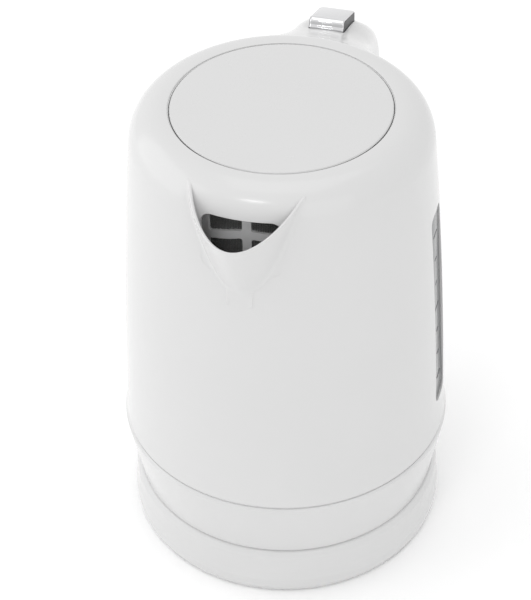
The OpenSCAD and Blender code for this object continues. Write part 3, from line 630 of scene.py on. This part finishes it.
def scale_mark(index, height, half_w, thick):
    ring = [(a, height - WINDOW_MID + b) for a, b in rounded_square(half_w, thick / 2, thick / 2.1, 4)]
    obj = prism("scale_mark_%02d" % index, ring, on_window, -0.02, 0.08)
    return stand_for(obj, "kettle", "dark_plastic")


for i in range(MARKS):
    main_mark = i % 3 == 0
    scale_mark(i, MARK_LOW_Z + i * MARK_STEP, 3.4 if main_mark else 1.8, 0.8 if main_mark else 0.5)


# ---------- filter ----------
FILTER_R = 56.0
FILTER_T = 2.4
FILTER_Z = (181.0, 215.0)
FILTER_HALF = math.radians(21)
BAR_DROP = 4.4
BAR_Z = (196.4, 200.4)
FRAME_RIM = 3.4


def on_filter(a, b, d):
    """Point at angle a to the side, height b and radius d."""
    return (d * math.sin(a), -d * math.cos(a), b)


def filter_frame():
    rings = []
    steps = 60
    corners = round_corners([(FILTER_R - FILTER_T, FILTER_Z[0], 0.6), (FILTER_R, FILTER_Z[0], 0.6),
                             (FILTER_R, FILTER_Z[1], 0.6), (FILTER_R - FILTER_T, FILTER_Z[1], 0.6)], 4)
    for a in np.linspace(-FILTER_HALF, FILTER_HALF, steps):
        rings.append([on_filter(a, z, r) for r, z in corners])
    obj = loft("filter_frame_skin", rings)
    cutters = []
    for side in (-1, 1):
        # the cross bar drops towards the sides
        near, far = math.radians(2.0), FILTER_HALF - math.radians(3.2)
        drop = BAR_DROP if side < 0 else BAR_DROP / 4
        low, high = FILTER_Z[0] + FRAME_RIM, FILTER_Z[1] - FRAME_RIM
        for z0, z1, drop0, drop1 in ((low, BAR_Z[0], 0, drop), (BAR_Z[1], high, drop, 0)):
            corners = [(near, z0), (far, z0 - drop0), (far, z1 - drop1), (near, z1)]
            pane = round_corners([(side * a * FILTER_R, z, 1.2) for a, z in corners], 6)
            cutters.append(loft("pane", [[on_filter(a / FILTER_R, z, r) for a, z in pane]
                                         for r in (FILTER_R - 6, FILTER_R + 4)]))
    cut(obj, *cutters)
    # the frame's near-white finish also paints light onto it in the spout's shaded channel
    return stand_for(obj, "filter", "grey_plastic", "filter_frame")


def wire(points, r, sides):
    """Rings of a round wire along the points."""
    points = np.array(points)
    along = np.gradient(points, axis=0)
    along /= np.linalg.norm(along, axis=1)[:, None]
    rings = []
    for p, d in zip(points, along):
        u = np.cross(d, [0.31, 0.17, 0.94] if abs(d[2]) < 0.9 else [1.0, 0, 0])
        u /= np.linalg.norm(u)
        v = np.cross(d, u)
        rings.append([p + r * (u * math.cos(b) + v * math.sin(b))
                      for b in np.linspace(0, 2 * math.pi, sides + 1)[:-1]])
    return rings


def filter_mesh():
    """A woven mesh of fine wires in the frame's groove."""
    verts, faces = [], []
    pitch, r = 0.7, 0.17
    centre_r = FILTER_R - 1.3
    half = FILTER_HALF - math.radians(1.4)
    z0, z1 = FILTER_Z[0] + 2.2, FILTER_Z[1] - 2.2
    columns = int(2 * half * centre_r / pitch)
    rows = int((z1 - z0) / pitch)

    def add(points):
        base_index = len(verts)
        rings = wire(points, r, 5)
        n = len(rings[0])
        for ring in rings:
            verts.extend(ring)
        for i in range(len(rings) - 1):
            for j in range(n):
                faces.append(tuple(base_index + q for q in (
                    i * n + j, i * n + (j + 1) % n, (i + 1) * n + (j + 1) % n, (i + 1) * n + j)))

    for c in range(columns + 1):
        a = -half + 2 * half * c / columns
        add([on_filter(a, z0 + (z1 - z0) * k / rows, centre_r + r * (1 if (k + c) % 2 else -1))
             for k in range(rows + 1)])
    for k in range(rows + 1):
        z = z0 + (z1 - z0) * k / rows
        add([on_filter(-half + 2 * half * c / columns, z, centre_r + r * (-1 if (k + c) % 2 else 1))
             for c in range(columns + 1)])
    obj = make("filter_weave", verts, faces)
    # the weave's dark finish also paints the shade inside the spout's channel
    return stand_for(obj, "filter", "mesh_metal", "filter_mesh")


filter_frame()
filter_mesh()


# ---------- finishes ----------
def finish_material(name, colour, rough, metal=0.0, grain=260.0, bump=0.02, mottle=0.03,
                    streak=None, spec=0.5, see_through=0.0):
    """A finish with fine surface grain, slow colour drift and patchy roughness."""
    mat = bpy.data.materials.new(name)
    mat.use_nodes = True
    tree = mat.node_tree
    link = tree.links.new
    shader = tree.nodes["Principled BSDF"]
    place = tree.nodes.new("ShaderNodeTexCoord")
    mapping = tree.nodes.new("ShaderNodeMapping")
    link(place.outputs["Object"], mapping.inputs["Vector"])
    if streak:
        mapping.inputs["Scale"].default_value = streak
    slow = tree.nodes.new("ShaderNodeTexNoise")
    slow.inputs["Scale"].default_value = 22.0
    slow.inputs["Detail"].default_value = 3.0
    link(mapping.outputs["Vector"], slow.inputs["Vector"])
    ramp = tree.nodes.new("ShaderNodeValToRGB")
    dark = [c * (1 - mottle) for c in colour]
    light = [min(c * (1 + mottle * 0.6), 1) for c in colour]
    ramp.color_ramp.elements[0].position = 0.3
    ramp.color_ramp.elements[0].color = (*dark, 1)
    ramp.color_ramp.elements[1].position = 0.7
    ramp.color_ramp.elements[1].color = (*light, 1)
    link(slow.outputs["Fac"], ramp.inputs["Fac"])
    link(ramp.outputs["Color"], shader.inputs["Base Color"])
    fine = tree.nodes.new("ShaderNodeTexNoise")
    fine.inputs["Scale"].default_value = grain * 4
    fine.inputs["Detail"].default_value = 4.0
    link(mapping.outputs["Vector"], fine.inputs["Vector"])
    patch = tree.nodes.new("ShaderNodeTexNoise")
    patch.inputs["Scale"].default_value = 60.0
    patch.inputs["Detail"].default_value = 5.0
    link(mapping.outputs["Vector"], patch.inputs["Vector"])
    spread = tree.nodes.new("ShaderNodeMapRange")
    spread.inputs["From Min"].default_value = 0.3
    spread.inputs["From Max"].default_value = 0.7
    spread.inputs["To Min"].default_value = rough * 0.85
    spread.inputs["To Max"].default_value = min(rough * 1.15, 1)
    link(patch.outputs["Fac"], spread.inputs["Value"])
    link(spread.outputs["Result"], shader.inputs["Roughness"])
    relief = tree.nodes.new("ShaderNodeBump")
    relief.inputs["Strength"].default_value = bump
    relief.inputs["Distance"].default_value = 0.0004
    link(fine.outputs["Fac"], relief.inputs["Height"])
    link(relief.outputs["Normal"], shader.inputs["Normal"])
    shader.inputs["Metallic"].default_value = metal
    shader.inputs["Specular IOR Level"].default_value = spec
    shader.inputs["Transmission Weight"].default_value = see_through
    return mat


brushed = (1, 1, 14)
FINISHES = {
    "body_plastic": finish_material("body_plastic", (0.62, 0.62, 0.62), 0.17, bump=0.012,
                                    mottle=0.008, grain=420),
    "lid_plastic": finish_material("lid_plastic", (0.61, 0.61, 0.61), 0.26, bump=0.006,
                                   mottle=0.006, grain=420),
    # also laid on the button's flanks as painted shade
    "dark_plastic": finish_material("dark_plastic", (0.035, 0.035, 0.038), 0.42, bump=0.08),
    # near white, lighter than the body's own white: the frame's white plus painted light for the filter
    # frame in the spout's shaded channel; the handle insert wears it too
    "grey_plastic": finish_material("grey_plastic", (0.9, 0.9, 0.9), 0.4, bump=0.08),
    "ivory_plastic": finish_material("ivory_plastic", (0.72, 0.66, 0.5), 0.5, bump=0.1, mottle=0.06),
    "white_plastic": finish_material("white_plastic", (0.75, 0.75, 0.72), 0.42, bump=0.06),
    "amber_plastic": finish_material("amber_plastic", (0.5, 0.2, 0.04), 0.4, bump=0.06),
    "rubber": finish_material("rubber", (0.035, 0.035, 0.036), 0.75, bump=0.2, mottle=0.15, spec=0.3),
    "silicone": finish_material("silicone", (0.42, 0.42, 0.41), 0.6, bump=0.1, spec=0.4),
    "steel": finish_material("steel", (0.55, 0.55, 0.54), 0.3, 1.0, bump=0.05, mottle=0.08),
    "stainless": finish_material("stainless", (0.56, 0.56, 0.55), 0.28, 1.0, bump=0.12, mottle=0.05,
                                 streak=brushed),
    "element_metal": finish_material("element_metal", (0.3, 0.29, 0.28), 0.45, 1.0, bump=0.1, mottle=0.2),
    "aluminium": finish_material("aluminium", (0.68, 0.68, 0.69), 0.4, 1.0, bump=0.15, mottle=0.07),
    "bimetal": finish_material("bimetal", (0.55, 0.4, 0.25), 0.35, 1.0, bump=0.05, mottle=0.12),
    "brass": finish_material("brass", (0.68, 0.48, 0.2), 0.25, 1.0, bump=0.04, mottle=0.1),
    "chrome": finish_material("chrome", (0.72, 0.72, 0.73), 0.09, 1.0, bump=0.01, mottle=0.02, grain=90),
    "smoked_clear": finish_material("smoked_clear", (0.17, 0.175, 0.18), 0.16, bump=0.02, mottle=0.1,
                                    see_through=0.25),
    # dark grey: partly the weave's own tone, partly painted shade for the spout's dim channel
    "mesh_metal": finish_material("mesh_metal", (0.2, 0.2, 0.2), 0.6, 0.2, bump=0.05, mottle=0.2),
}


def wear(obj, slot_name):
    obj.data.materials.clear()
    obj.data.materials.append(FINISHES[slot_name])


for part in frame["record"]["subparts"]:
    wear(nodes[part["node"]], part["material_slot"])
    soften(nodes[part["node"]], 30)

for obj in list(bpy.context.scene.objects):
    if obj.type == "MESH" and obj.name not in nodes:
        wear(obj, obj["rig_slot"] if "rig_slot" in obj else "body_plastic")

# ---------- studio ----------
floor_mesh = bpy.data.meshes.new("floor")
span = 40.0    # metres, as the lights' and the camera's places are
floor_mesh.from_pydata([(-span, -span, 0), (span, -span, 0), (span, span, 0), (-span, span, 0)],
                       [], [(0, 1, 2, 3)])
floor = bpy.data.objects.new("floor", floor_mesh)
floor.location.z = -0.0002
bpy.context.scene.collection.objects.link(floor)
floor_mesh.materials.append(finish_material("floor_paint", (0.98, 0.98, 0.98), 0.8, bump=0.01,
                                            mottle=0.004, spec=0.1))


def soft_light(name, place, aim, width, height, watts):
    data = bpy.data.lights.new(name, "AREA")
    data.shape = "RECTANGLE"
    data.size = width
    data.size_y = height
    data.energy = watts
    lamp = bpy.data.objects.new(name, data)
    bpy.context.scene.collection.objects.link(lamp)
    lamp.location = place
    lamp.rotation_euler = (Vector(aim) - Vector(place)).to_track_quat("-Z", "Y").to_euler()


soft_light("key", (-1.8, -0.2, 0.9), (0, 0, 0.1), 2.2, 1.9, 11)
soft_light("fill", (1.3, -1.5, 0.9), (0, 0, 0.1), 1.8, 1.6, 4)
soft_light("top", (0, 0.3, 1.9), (0, 0, 0.1), 1.2, 1.2, 3)
soft_light("window", (-0.17, -1.05, 1.4), (0, 0, 0.15), 0.34, 0.1, 1.6)

world = bpy.data.worlds.new("studio")
bpy.context.scene.world = world
world.use_nodes = True
world.node_tree.nodes["Background"].inputs["Color"].default_value = (1, 1, 1, 1)
world.node_tree.nodes["Background"].inputs["Strength"].default_value = 0.95

# ---------- camera ----------
ELEVATION = math.radians(40.91)
TURN = math.radians(15.5)
ROLL = math.radians(-0.8512)
DISTANCE = 0.8709
TARGET = Vector((0, 0, 0.11))
LENS = 113.41
SENSOR = 36.0
ASIDE = math.atan(0.00995)     # the kettle's axis stands a little left of the middle
BELOW = math.atan(0.00635)

back = Vector((math.sin(TURN) * math.cos(ELEVATION), -math.cos(TURN) * math.cos(ELEVATION),
               math.sin(ELEVATION)))
ahead = -back
right = Vector((math.cos(TURN), math.sin(TURN), 0))
upward = right.cross(ahead)
right2 = right * math.cos(ASIDE) + ahead * math.sin(ASIDE)
ahead2 = -right * math.sin(ASIDE) + ahead * math.cos(ASIDE)
up2 = upward * math.cos(BELOW) - ahead2 * math.sin(BELOW)
ahead3 = upward * math.sin(BELOW) + ahead2 * math.cos(BELOW)
cam_x = right2 * math.cos(ROLL) + up2 * math.sin(ROLL)
cam_y = -right2 * math.sin(ROLL) + up2 * math.cos(ROLL)
camera_data = bpy.data.cameras.new("camera")
camera_data.lens = LENS
camera_data.sensor_width = SENSOR
camera = bpy.data.objects.new("camera", camera_data)
bpy.context.scene.collection.objects.link(camera)
turn = Matrix((cam_x, cam_y, -ahead3)).transposed()
camera.matrix_world = Matrix.Translation(TARGET + back * DISTANCE) @ turn.to_4x4()
bpy.context.scene.camera = camera
bpy.context.scene.view_settings.view_transform = "Standard"
